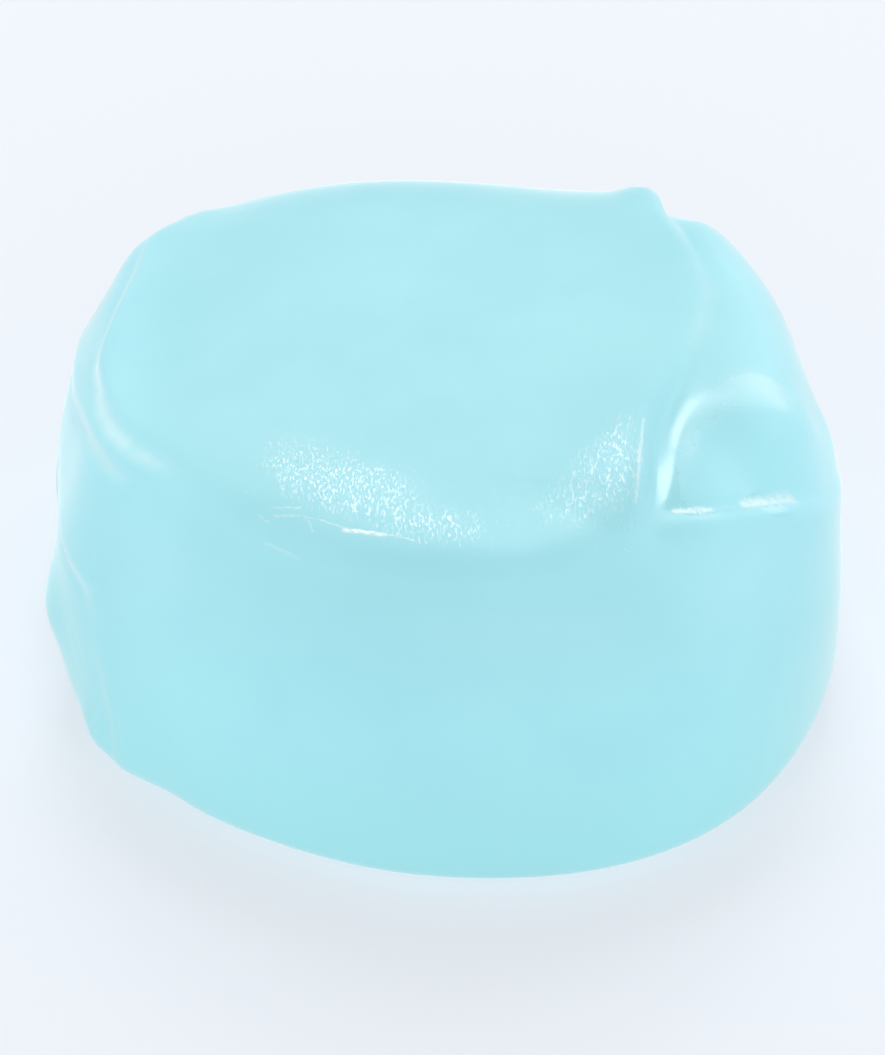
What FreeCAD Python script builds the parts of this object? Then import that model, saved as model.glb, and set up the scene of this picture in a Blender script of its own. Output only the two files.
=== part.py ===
"""Detailing clay kneaded into a lump: a rounded block of soft clay, folded over itself in laps.

Frame: millimetres, +X to the right, +Y to the rear, +Z up. The origin is the middle of the lump's
bounding box, on the flat foot that it rests on.
"""
import FreeCAD, Part
import math
import os

import Sketcher
from FreeCAD import Vector

# Driving dimensions in millimetres, angles in degrees: alias, value, what it is.
DIMENSIONS = [
    ("half_width", 38.0, "centre to the left or right side, at the waist"),
    ("half_depth", 37.0, "centre to the front or rear side, at the waist"),
    ("height", 37.0, "foot to crown"),
    ("waist_level", 10.0, "height of the widest section"),
    ("wall_reach", 38.0, "scale of the draw-in of the wall towards foot and crown"),
    ("front_corner", 34.0, "plan radius of the two front corners at the waist"),
    ("rear_corner", 26.0, "plan radius of the two rear corners at the waist"),
    ("crown_radius", 155.0, "radius of the slightly crowned top"),
    ("past_lump", 12.0, "how far each cutting outline runs past the lump"),
    ("hidden_corner", 6.0, "plan radius of a cutting outline where no edge shows"),
    ("top_lap_floor", 31.0, "level of the fold under the top lap"),
    ("top_lap_left", 30.0, "centre to the top lap's left edge"),
    ("top_lap_right", 21.0, "centre to the top lap's free edge, at the crease"),
    ("top_lap_front", 28.0, "centre to the top lap's front edge"),
    ("top_lap_turn", -8.0, "turn of the top lap seen from above, so that the crease leans"),
    ("top_lap_left_corner", 25.0, "plan radius of the top lap's front left corner"),
    ("top_lap_right_corner", 9.0, "plan radius of the top lap's front right corner"),
    ("right_lap_floor", 27.0, "level of the fold under the right lap"),
    ("right_lap_inner", 10.0, "centre to the right lap's hidden inner edge, under the top lap"),
    ("right_lap_front", 19.5, "centre to the right lap's front edge"),
    ("right_lap_corner", 7.0, "plan radius of the right lap's inner front corner"),
    ("crease_step", 1.6, "how far the top lap's free edge stands above the right lap"),
    ("dent_radius", 14.0, "radius of the fingertip dent in the right lap"),
    ("dent_depth", 1.5, "depth of the fingertip dent"),
    ("dent_x", 27.5, "fingertip dent, to the right of the centre"),
    ("dent_y", 9.5, "fingertip dent, in front of the centre"),
    ("dent_level", 33.0, "level of the right lap where the fingertip pressed it"),
    ("lip_round", 1.2, "rounding of the top lap's free edge"),
    ("left_lap_floor", 24.5, "level of the fold under the roll along the left edge"),
    ("left_lap_inner", 29.0, "centre to the roll's hidden inner edge"),
    ("left_lap_front", 15.0, "centre to the roll's front end"),
    ("left_tuck_floor", 18.5, "level of the fold under the strip tucked below the roll"),
    ("left_tuck_inner", 32.0, "centre to the tucked strip's hidden inner edge"),
    ("left_tuck_front", 12.5, "centre to the tucked strip's front end"),
    ("left_tuck_rear", 17.0, "centre to the tucked strip's rear end"),
    ("side_flap_floor", 2.5, "level of the side flap's lower edge, just clear of the foot"),
    ("side_flap_inner", 34.0, "centre to the side flap's hidden inner face"),
    ("side_flap_front", 22.0, "centre to the side flap's front end"),
    ("side_flap_rear", 9.0, "centre to the side flap's rear end"),
]
# The wall's profile: a share of the height above (+) or below (-) the waist for each section.
SECTION_SHARES = [-1.0, -0.88, -0.6, 0.0, 0.35, 0.6, 0.78, 0.9, 1.0]
UPPER_POWER = 2.2
LOWER_POWER = 5.0
WALL_POWER = 6.0
END_SHARE = 0.965  # foot and top section are drawn in as if at this share, so that both are flat
LARGEST_REMOVAL = 1500.0  # cubic millimetres that the dent, the step and the lip may remove
PARTS_FOLDER = "parts"

PAST_SIDE = "sizes.half_width + sizes.past_lump"
PAST_END = "sizes.half_depth + sizes.past_lump"
PAST_TOP = "sizes.height + sizes.past_lump"
PLAIN = "sizes.hidden_corner"
# The space of each lap, in the order that they are split off: node, floor, ceiling, distances of
# the left, right, front and rear sides, radii of the corners from the front left round, and turn.
LAPS = [
    (
        "top_lap", "sizes.top_lap_floor", PAST_TOP,
        ["sizes.top_lap_left", "sizes.top_lap_right", "sizes.top_lap_front", PAST_END],
        ["sizes.top_lap_left_corner", "sizes.top_lap_right_corner", PLAIN, PLAIN],
        "sizes.top_lap_turn",
    ),
    (
        "right_lap", "sizes.right_lap_floor", PAST_TOP,
        ["-sizes.right_lap_inner", PAST_SIDE, "sizes.right_lap_front", PAST_END],
        ["sizes.right_lap_corner", PLAIN, PLAIN, PLAIN],
        None,
    ),
    (
        "left_lap", "sizes.left_lap_floor", PAST_TOP,
        [PAST_SIDE, "-sizes.left_lap_inner", "sizes.left_lap_front", PAST_END],
        [PLAIN, PLAIN, PLAIN, PLAIN],
        None,
    ),
    (
        "left_tuck", "sizes.left_tuck_floor", "sizes.left_lap_floor",
        [PAST_SIDE, "-sizes.left_tuck_inner", "sizes.left_tuck_front", "sizes.left_tuck_rear"],
        [PLAIN, PLAIN, PLAIN, PLAIN],
        None,
    ),
    (
        "side_flap", "sizes.side_flap_floor", "sizes.left_tuck_floor",
        [PAST_SIDE, "-sizes.side_flap_inner", "sizes.side_flap_front", "sizes.side_flap_rear"],
        [PLAIN, PLAIN, PLAIN, PLAIN],
        None,
    ),
]


def make_sheet(doc):
    """The spreadsheet of driving dimensions, each cell under its own alias."""
    sheet = doc.addObject("Spreadsheet::Sheet", "sizes")
    for row, (alias, value, _meaning) in enumerate(DIMENSIONS, start=1):
        sheet.set(f"A{row}", str(value))
        sheet.setAlias(f"A{row}", alias)
    doc.recompute()
    return sheet


def rounded_outline(body, name, level, sides, corners):
    """Closed sketch of four straight sides and four tangent corner arcs, on one level.

    level is the expression of its height. sides are the expressions of the distances from the
    centre to the left, right, front and rear sides, and corners those of the radii of the front
    left, front right, rear right and rear left corners.
    """
    sketch = body.newObject("Sketcher::SketchObject", name)
    base = next(f for f in body.Origin.OriginFeatures if f.Role == "XY_Plane")
    sketch.AttachmentSupport = (base, [""])
    sketch.MapMode = "FlatFace"
    sketch.setExpression("AttachmentOffset.Base.z", level)

    def size(expression):
        return float(sketch.evalExpression(expression))

    left, front = -size(sides[0]), -size(sides[2])
    right, rear = size(sides[1]), size(sides[3])
    r_fl, r_fr, r_rr, r_rl = (size(corner) for corner in corners)

    def line(x1, y1, x2, y2):
        return Part.LineSegment(Vector(x1, y1, 0), Vector(x2, y2, 0))

    def corner(x, y, radius, quarter):
        circle = Part.Circle(Vector(x, y, 0), Vector(0, 0, 1), radius)
        return Part.ArcOfCircle(circle, quarter * math.pi / 2, (quarter + 1) * math.pi / 2)

    outline = [
        line(left + r_fl, front, right - r_fr, front),
        corner(right - r_fr, front + r_fr, r_fr, 3),
        line(right, front + r_fr, right, rear - r_rr),
        corner(right - r_rr, rear - r_rr, r_rr, 0),
        line(right - r_rr, rear, left + r_rl, rear),
        corner(left + r_rl, rear - r_rl, r_rl, 1),
        line(left, rear - r_rl, left, front + r_fl),
        corner(left + r_fl, front + r_fl, r_fl, 2),
    ]
    sketch.addGeometry(outline, False)
    start, end, centre = 1, 2, (-1, 1)
    rules = [Sketcher.Constraint("Horizontal", edge) for edge in (0, 4)]
    rules += [Sketcher.Constraint("Vertical", edge) for edge in (2, 6)]
    for edge in range(len(outline)):
        following = (edge + 1) % len(outline)
        rules.append(Sketcher.Constraint("Tangent", edge, end, following, start))
    sketch.addConstraint(rules)
    sized = [
        (Sketcher.Constraint("DistanceX", 6, start, *centre, -left), sides[0]),
        (Sketcher.Constraint("DistanceX", *centre, 2, start, right), sides[1]),
        (Sketcher.Constraint("DistanceY", 0, start, *centre, -front), sides[2]),
        (Sketcher.Constraint("DistanceY", *centre, 4, start, rear), sides[3]),
        (Sketcher.Constraint("Radius", 7, r_fl), corners[0]),
        (Sketcher.Constraint("Radius", 1, r_fr), corners[1]),
        (Sketcher.Constraint("Radius", 3, r_rr), corners[2]),
        (Sketcher.Constraint("Radius", 5, r_rl), corners[3]),
    ]
    for rule, expression in sized:
        index = sketch.addConstraint(rule)
        sketch.setExpression(f"Constraints[{index}]", expression)
    return sketch


def wall_section(body, number, share):
    """Plan outline of the lump at a share of the height above or below the waist.

    The draw-in follows a superellipse: none at the waist, and steepest near crown and foot.
    """
    power = UPPER_POWER if share > 0 else LOWER_POWER
    used = min(abs(share), END_SHARE)
    draw_in = f"sizes.wall_reach * (1 - (1 - {used} ^ {power}) ^ (1 / {WALL_POWER}))"
    reach = "(sizes.height - sizes.waist_level)" if share > 0 else "sizes.waist_level"
    level = f"sizes.waist_level + {share} * {reach}"
    side = f"sizes.half_width - {draw_in}"
    end = f"sizes.half_depth - {draw_in}"
    front_corner = f"sizes.front_corner - {draw_in}"
    rear_corner = f"sizes.rear_corner - {draw_in}"
    corners = [front_corner, front_corner, rear_corner, rear_corner]
    return rounded_outline(body, f"wall_section_{number}", level, [side, side, end, end], corners)


def make_lump(doc):
    """The whole outside of the lump: a barrel lofted through its sections, under its crown."""
    body = doc.addObject("PartDesign::Body", "barrel")
    sections = [wall_section(body, n, share) for n, share in enumerate(SECTION_SHARES)]
    doc.recompute()
    loft = body.newObject("PartDesign::AdditiveLoft", "barrel_loft")
    loft.Profile = sections[0]
    loft.Sections = sections[1:]
    doc.recompute()
    crown = make_ball(doc, "crown_ball", "sizes.crown_radius", "sizes.height")
    return combine(doc, "Part::Common", "lump", body, crown)


def make_ball(doc, name, radius, top, x="0", y="0"):
    """A ball whose highest point is at the level top."""
    ball = doc.addObject("Part::Sphere", name)
    ball.setExpression("Radius", radius)
    ball.setExpression("Placement.Base.x", x)
    ball.setExpression("Placement.Base.y", y)
    ball.setExpression("Placement.Base.z", f"{top} - {radius}")
    return ball


def combine(doc, kind, name, base, tool):
    """Part::Common or Part::Cut of two objects."""
    made = doc.addObject(kind, name)
    made.Base = base
    made.Tool = tool
    doc.recompute()
    return made


def fold_space(doc, name, floor, ceiling, sides, corners, turn=None):
    """The straight-sided block of space that a lap fills, from its floor to its ceiling."""
    body = doc.addObject("PartDesign::Body", name)
    outline = rounded_outline(body, f"{name}_outline", floor, sides, corners)
    doc.recompute()
    pad = body.newObject("PartDesign::Pad", f"{name}_pad")
    pad.Profile = outline
    pad.setExpression("Length", f"{ceiling} - {floor}")
    if turn:
        body.setExpression("Placement.Rotation.Angle", turn)
    doc.recompute()
    return body


def build(doc):
    """Every sub-part of the lump, by node name."""
    make_sheet(doc)
    rest = make_lump(doc)
    nodes = {}
    for node, floor, ceiling, sides, corners, turn in LAPS:
        space = fold_space(doc, f"{node}_space", floor, ceiling, sides, corners, turn)
        whole_lap = combine(doc, "Part::Common", f"{node}_cut_out", rest, space)
        rest = combine(doc, "Part::Cut", f"rest_without_{node}", rest, space)
        nodes[node] = whole_lap
    nodes["right_lap"] = press_right_lap(doc, nodes["right_lap"])
    nodes["top_lap"] = round_free_edge(doc, nodes["top_lap"])
    nodes["clay_core"] = rest
    for node, sub_part in nodes.items():
        sub_part.Label = node
    return nodes


def press_right_lap(doc, lap):
    """The right lap, lower than the top lap's free edge and dented by a fingertip."""
    lower_crown = make_ball(
        doc, "lower_crown_ball", "sizes.crown_radius", "sizes.height - sizes.crease_step"
    )
    lowered = combine(doc, "Part::Common", "lowered_right_lap", lap, lower_crown)
    fingertip = doc.addObject("Part::Sphere", "fingertip_ball")
    fingertip.setExpression("Radius", "sizes.dent_radius")
    for axis, centre in [
        ("x", "sizes.dent_x"),
        ("y", "-sizes.dent_y"),
        ("z", "sizes.dent_level + sizes.dent_radius - sizes.dent_depth"),
    ]:
        fingertip.setExpression(f"Placement.Base.{axis}", centre)
    return combine(doc, "Part::Cut", "dented_right_lap", lowered, fingertip)


def round_free_edge(doc, lap):
    """The top lap with the lip of its free edge, along the crease, rounded over."""
    sizes = doc.getObject("sizes")
    lip = []
    for number, edge in enumerate(lap.Shape.Edges, start=1):
        middle = edge.valueAt((edge.FirstParameter + edge.LastParameter) / 2)
        at_crease = middle.x > 0.7 * sizes.top_lap_right
        above_floor = middle.z > sizes.top_lap_floor + sizes.lip_round / 2
        along_crease = edge.BoundBox.YLength > edge.BoundBox.ZLength
        if at_crease and above_floor and along_crease:
            lip.append((number, float(sizes.lip_round), float(sizes.lip_round)))
    rounded = doc.addObject("Part::Fillet", "rounded_top_lap")
    rounded.Base = lap
    rounded.Edges = lip
    doc.recompute()
    return rounded


def check(doc, nodes):
    """Stops with a message if any object failed, or if the split gained or lost material."""
    for item in doc.Objects:
        if {"Invalid", "Error"} & set(item.State):
            raise RuntimeError(f"{item.Label} failed: {item.State}")
    for node, sub_part in nodes.items():
        shape = sub_part.Shape
        if shape.isNull() or not shape.isValid() or len(shape.Solids) != 1:
            raise RuntimeError(f"{node} isn't one valid solid")
        print(f"{node}: {shape.Volume / 1000:.2f} cubic centimetres")
    total = sum(sub_part.Shape.Volume for sub_part in nodes.values())
    removed = doc.getObject("lump").Shape.Volume - total
    if not 0 <= removed <= LARGEST_REMOVAL:
        raise RuntimeError(f"the laps differ from the lump by {removed:.1f} cubic millimetres")
    print(f"all laps: {total / 1000:.1f} cubic centimetres")


def main():
    doc = FreeCAD.newDocument("clay_lump")
    nodes = build(doc)
    check(doc, nodes)
    os.makedirs(PARTS_FOLDER, exist_ok=True)
    for node, sub_part in nodes.items():
        sub_part.Shape.exportStep(os.path.join(PARTS_FOLDER, f"{node}.step"))


main()
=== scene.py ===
# %% [markdown]
# # Detailing clay, kneaded into a lump
#
# Detailing clay is a soft, slightly sticky putty that lifts grit from paintwork. Before it is used
# it is kneaded in the hand, so the bar it was sold as turns into a rounded lump, folded over itself
# in laps. This file makes such a lump in the place that the design gives it. The clay is shaped
# whole, as the hand does it, and then parted along its folds, so that each lap is a piece.

# %% Load the design
import math

import bmesh
import bpy
import numpy as np
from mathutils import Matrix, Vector


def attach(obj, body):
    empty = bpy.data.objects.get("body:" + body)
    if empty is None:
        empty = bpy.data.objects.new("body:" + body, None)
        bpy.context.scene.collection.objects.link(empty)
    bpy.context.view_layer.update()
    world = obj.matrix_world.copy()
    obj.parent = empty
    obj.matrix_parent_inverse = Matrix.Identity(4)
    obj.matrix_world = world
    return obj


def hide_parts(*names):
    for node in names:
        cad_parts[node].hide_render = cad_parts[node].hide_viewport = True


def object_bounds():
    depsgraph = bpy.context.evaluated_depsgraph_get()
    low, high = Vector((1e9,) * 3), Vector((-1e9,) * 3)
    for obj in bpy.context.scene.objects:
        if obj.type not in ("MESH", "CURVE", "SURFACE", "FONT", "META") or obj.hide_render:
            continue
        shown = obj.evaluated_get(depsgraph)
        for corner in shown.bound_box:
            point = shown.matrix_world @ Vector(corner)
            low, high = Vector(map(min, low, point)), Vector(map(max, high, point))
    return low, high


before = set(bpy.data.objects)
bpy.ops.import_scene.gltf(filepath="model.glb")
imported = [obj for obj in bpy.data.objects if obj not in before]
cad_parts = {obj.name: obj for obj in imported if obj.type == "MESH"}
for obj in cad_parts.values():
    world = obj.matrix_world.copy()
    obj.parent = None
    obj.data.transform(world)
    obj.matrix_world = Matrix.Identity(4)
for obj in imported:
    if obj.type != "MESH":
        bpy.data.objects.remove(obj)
design_low, design_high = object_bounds()
MM = 0.001
centre_x, centre_y = ((design_low[i] + design_high[i]) / 2 for i in (0, 1))
width, depth, height = (design_high[i] - design_low[i] for i in range(3))
print(f"lump: {width / MM:.1f} by {depth / MM:.1f} by {height / MM:.1f} mm")


# %% [markdown]
# ## The stage
#
# A photographer would stand the clay on a light table under a big soft light, with strips behind
# it and white cards in front and at the sides. Light that comes towards the camera from behind
# the lump is what makes a gloss read as wet, so the softbox is set behind the lump and the strips
# are turned to where the rims of the right lap mirror them. The cards keep the front wall pale,
# and the glow of the table keeps the shadow pale.

# %% Colours as a designer writes them
def linear_colour(hex_text):
    """Turns an sRGB hex colour into the linear red, green, blue and alpha that Blender works in."""
    shares = [int(hex_text[i : i + 2], 16) / 255 for i in (1, 3, 5)]
    curve = [s / 12.92 if s <= 0.04045 else ((s + 0.055) / 1.055) ** 2.4 for s in shares]
    return (*curve, 1.0)


# %% Camera
scene = bpy.context.scene
scene.view_settings.view_transform = "Standard"
CAMERA_ELEVATION = math.radians(41)
CAMERA_DISTANCE = 428 * MM
CAMERA_LENS = 149.5  # a long lens on a 36 mm sensor, which keeps the lump's sides nearly parallel
CAMERA_AIM = Vector((-0.5 * MM, 0, 14.6 * MM))


def aimed_at(thing, target):
    """Turns a camera or a light so that it looks at a point."""
    thing.rotation_euler = (target - thing.location).to_track_quat("-Z", "Y").to_euler()


camera_data = bpy.data.cameras.new("camera")
camera_data.lens = CAMERA_LENS
camera_data.sensor_width = 36
camera = bpy.data.objects.new("camera", camera_data)
scene.collection.objects.link(camera)
back, up = -math.cos(CAMERA_ELEVATION), math.sin(CAMERA_ELEVATION)
camera.location = CAMERA_AIM + CAMERA_DISTANCE * Vector((0, back, up))
aimed_at(camera, CAMERA_AIM)
scene.camera = camera
print(f"camera: {CAMERA_DISTANCE:.3f} m from the lump, {math.degrees(CAMERA_ELEVATION):.0f} degrees up")


# %% Nodes, one at a time
def add_node(tree, kind, inputs=None, **settings):
    """Adds a node, sets its properties, and sets or links its inputs by name or by number.

    A node given as an input stands for its first output.
    """
    node = tree.nodes.new(kind)
    for name, value in settings.items():
        setattr(node, name, value)
    for socket, value in (inputs or {}).items():
        if isinstance(value, bpy.types.Node):
            value = value.outputs[0]
        if isinstance(value, bpy.types.NodeSocket):
            tree.links.new(value, node.inputs[socket])
        else:
            node.inputs[socket].default_value = value
    return node


# %% Floor and world
def table_material():
    """A light table's matt top: it glows a little, and shows soft shadows and no reflections."""
    material = bpy.data.materials.new("matt_light_table")
    material.use_nodes = True
    tree = material.node_tree
    tree.nodes.clear()
    top = add_node(
        tree, "ShaderNodeBsdfPrincipled",
        {"Base Color": linear_colour("#a1aeb8"), "Roughness": 0.9, "Specular IOR Level": 0.0,
         "Emission Color": linear_colour("#fff8f8"), "Emission Strength": 0.53},
    )
    add_node(tree, "ShaderNodeOutputMaterial", {"Surface": top.outputs[0]})
    return material


FLOOR_SIZE = 6.0  # metres, so that its edges stay out of sight
floor_mesh = bpy.data.meshes.new("floor")
edge = FLOOR_SIZE / 2
floor_mesh.from_pydata(
    [(-edge, -edge, 0), (edge, -edge, 0), (edge, edge, 0), (-edge, edge, 0)], [], [(0, 1, 2, 3)]
)
floor = bpy.data.objects.new("floor", floor_mesh)
floor_mesh.materials.append(table_material())
scene.collection.objects.link(floor)

world = bpy.data.worlds.new("white_studio")
scene.world = world
world.use_nodes = True
background = world.node_tree.nodes["Background"]
background.inputs["Color"].default_value = linear_colour("#fafcff")
background.inputs["Strength"].default_value = 0.18
print(f"floor: {FLOOR_SIZE:.0f} m square")


# %% Lights
def soft_light(name, place, size, watts, target):
    """A rectangular softbox, aimed at a point."""
    data = bpy.data.lights.new(name, "AREA")
    data.shape = "RECTANGLE"
    data.size, data.size_y = size
    data.energy = watts
    light = bpy.data.objects.new(name, data)
    light.location = place
    scene.collection.objects.link(light)
    aimed_at(light, target)


LUMP_MIDDLE = Vector((centre_x, centre_y, height / 2))
soft_light("overhead_softbox", (0, 0.66, 1.04), (0.5, 0.9), 6.7, LUMP_MIDDLE)
soft_light("right_strip", (0.66, 0.85, 0.52), (0.75, 1.0), 3.4, LUMP_MIDDLE)
soft_light("left_strip", (-0.68, 0.9, 0.55), (0.6, 0.6), 2.2, LUMP_MIDDLE)
soft_light("front_card", (0, -1.3, 0.9), (2.2, 1.0), 14.2, LUMP_MIDDLE)
soft_light("right_card", (1.35, -0.15, 0.3), (0.8, 0.5), 4.4, LUMP_MIDDLE)
soft_light("left_card", (-1.35, -0.15, 0.3), (0.8, 0.5), 4.6, LUMP_MIDDLE)
print(f"lights: {len(bpy.data.lights)}, {sum(light.energy for light in bpy.data.lights):.0f} W in all")


# %% [markdown]
# ## The body of the lump
#
# A ball of clay that is set down and patted on top is a rule more than a drawing: a rounded plan,
# squarer at the back than at the front, and a wall that is widest low down and draws in towards a
# nearly flat crown. It could be sculpted, but a superellipse says all of it in a few powers. The
# points of an inflated cube are pushed out along their own directions until they meet the rule, so
# the faces are even and no pole shows.

# %% The rule of the body
FRONT_POWER, REAR_POWER = 2.2, 3.4  # plan squareness
WALL_POWER, CROWN_POWER, FOOT_POWER = 6.4, 2.3, 5.3
WAIST = 0.26 * height
PLAN_TURN = math.radians(3.4)
SIDE_BLEND = 0.25  # how gradually the front's plan turns into the rear's
SWELLS = [  # direction in the plan from +X round to the rear, how far it spreads, share of radius
    (34, 20, -0.012),  # rear right corner, where the top lap ends in a tab
    (100, 24, 0.030),  # rear, bulged by the lap that comes over it
    (236, 24, -0.050),  # front left, patted flat
    (302, 22, 0.034),  # front right, the fullest part
]
FOLD_ROOM = 1.0 * MM  # the folds stand this much above the crown
CUBE_CUTS = 140
HALVINGS = 40  # finds the skin to far less than a micrometre
MIDDLE = np.array([centre_x, centre_y, WAIST])


def gauge(points):
    """How far out of the lump each point is: under 1 inside it, 1 on its skin."""
    x = (points[:, 0] - centre_x) / (width / 2)
    y = (points[:, 1] - centre_y) / (depth / 2)
    turned_x = x * math.cos(PLAN_TURN) + y * math.sin(PLAN_TURN)
    turned_y = y * math.cos(PLAN_TURN) - x * math.sin(PLAN_TURN)
    reach = np.hypot(turned_x, turned_y) + 1e-12
    rearness = 0.5 + 0.5 * np.tanh(turned_y / reach / SIDE_BLEND)
    power = FRONT_POWER + (REAR_POWER - FRONT_POWER) * rearness
    plan = (np.abs(turned_x) ** power + np.abs(turned_y) ** power) ** (1 / power)
    direction = np.degrees(np.arctan2(turned_y, turned_x))
    swelling = np.ones(len(points))
    for towards, spread, share in SWELLS:
        away = (direction - towards + 180) % 360 - 180
        swelling += share * np.exp(-((away / spread) ** 2))
    rise = points[:, 2] - WAIST
    up = np.maximum(rise, 0) / (height - FOLD_ROOM - WAIST)
    down = np.maximum(-rise, 0) / WAIST
    return (plan / swelling) ** WALL_POWER + up**CROWN_POWER + down**FOOT_POWER


def push_to_skin(points):
    """Slides points along their directions from the lump's middle until they meet its skin."""
    directions = points - MIDDLE
    directions /= np.linalg.norm(directions, axis=1)[:, None]
    near = np.zeros(len(directions))
    far = np.full(len(directions), width)
    for _ in range(HALVINGS):
        between = (near + far) / 2
        inside = gauge(MIDDLE + directions * between[:, None]) < 1
        near = np.where(inside, between, near)
        far = np.where(inside, far, between)
    return MIDDLE + directions * near[:, None]


# %% An inflated cube as the start
def inflated_cube(cuts):
    """A cube's faces cut into squares and blown up to a ball, as a bmesh-made mesh."""
    mesh = bpy.data.meshes.new("lump_skin")
    shape = bmesh.new()
    bmesh.ops.create_cube(shape, size=2)
    bmesh.ops.subdivide_edges(shape, edges=shape.edges[:], cuts=cuts, use_grid_fill=True)
    shape.to_mesh(mesh)
    shape.free()
    return mesh


def read_points(mesh):
    points = np.empty(len(mesh.vertices) * 3)
    mesh.vertices.foreach_get("co", points)
    return points.reshape(-1, 3)


def write_points(mesh, points):
    mesh.vertices.foreach_set("co", points.ravel())
    mesh.update()


skin = inflated_cube(CUBE_CUTS)
even_spread = np.tan(read_points(skin) * math.pi / 4)
write_points(skin, push_to_skin(MIDDLE + even_spread))
print(f"skin: {len(skin.vertices)} points")


# %% [markdown]
# ## The hand's broad marks
#
# Palms and fingers leave broad, shallow hollows and swellings before any fold is made. Each is a
# soft push along the skin's own normal, strongest at its centre. A sculpt brush does the same; a
# list keeps each push where it can be read and changed.

# %% Pushes
PUSHES = [  # place in mm, how far it spreads, how far it moves the skin (out is positive)
    ((-6, 30, 33), (13, 9, 8), 0.8),  # rear of the crown, where the lap comes over
    ((13, 31, 32), (7, 6, 6), -0.4),  # beside the tab
    ((-30.2, 24, 31), (3.4, 4, 5), 1.0),  # rear left lobe
    ((-25, 28, 33), (2.6, 4, 4), 0.7),  # the lobe beside it
    ((19.4, 29, 33), (2.0, 4, 4), 1.0),  # tab at the end of the top lap
    ((23.0, 28, 31.5), (1.7, 5, 5), -0.5),  # notch to the right of it
    ((-38, -7, 11), (5, 5, 4), 1.3),  # foot of the side flap
    ((-33.6, -18.5, 4), (2.6, 3, 4), 0.7),  # its front corner
    ((-28.5, -27, 3), (4, 4, 4), -0.5),  # hollow in front of it
    ((-37, 2, 27), (4, 8, 5), -0.3),  # left side, drawn in under the laps
    ((8, -36, 6), (14, 6, 8), 0.35),  # foot of the front wall
    ((-8, 4, 37), (16, 14, 8), -0.4),  # palm hollow on the crown
    ((-12, -18, 36.5), (9, 5, 5), 0.35),  # swelling behind the shoulder
    ((6, -21, 36), (3.6, 5, 4), -0.5),  # hollow that parts it from the next
    ((16, -16, 36.5), (5, 8, 5), 0.6),  # swelling beside the crease
    ((27, -8, 34.5), (8, 9, 8), 0.6),  # the right lap as a lobe
    ((26.8, -12.6, 34.5), (3.9, 5, 5), -1.1),  # fingertip's dent in the right lap
    ((33.6, -1.5, 31), (3.4, 4, 4), 0.4),  # beyond the end of its rim
    ((26, 27, 31), (4, 5, 5), 0.5),  # rear of the right lap
    ((37.2, 2, 23.5), (4, 6, 3.6), 0.75),  # right side, where the lap swells over the wall
    ((36, 12, 25), (5, 8, 7), -0.3),  # right side, drawn in above the waist
    ((4, -37, 14), (22, 8, 9), -0.4),  # thumb's side on the front wall
    ((-20, -33, 18), (10, 8, 9), 0.4),  # beside it
]


def read_normals(mesh):
    normals = np.empty(len(mesh.vertices) * 3)
    mesh.vertices.foreach_get("normal", normals)
    return normals.reshape(-1, 3)


def push(mesh, pushes):
    """Moves the skin along its normals by each push, so that a push never tears or pinches it."""
    points, normals = read_points(mesh), read_normals(mesh)
    amounts = np.zeros(len(points))
    for place, spread, amount in pushes:
        away = (points - np.array(place) * MM) / (np.array(spread) * MM)
        amounts += amount * MM * np.exp(-(away**2).sum(axis=1))
    write_points(mesh, points + normals * amounts[:, None])


push(skin, PUSHES)
print(f"pushes: {len(PUSHES)}")


# %% [markdown]
# ## Folds
#
# Kneading folds clay over itself. Each lap ends in an edge that stands a little over the clay it
# lies on, with a crease in front of it, and both fade where thumbs have smoothed them. All of them
# are the same shape run along a different line, which is a job for Geometry Nodes: one tree takes
# a path and a few sizes, finds the nearest place on the path for each point of the skin, and moves
# the point by a crease and a step. The lap that stands up is on the right of the path as it runs,
# and the radius of the path's points is the strength of the fold there.

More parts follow.
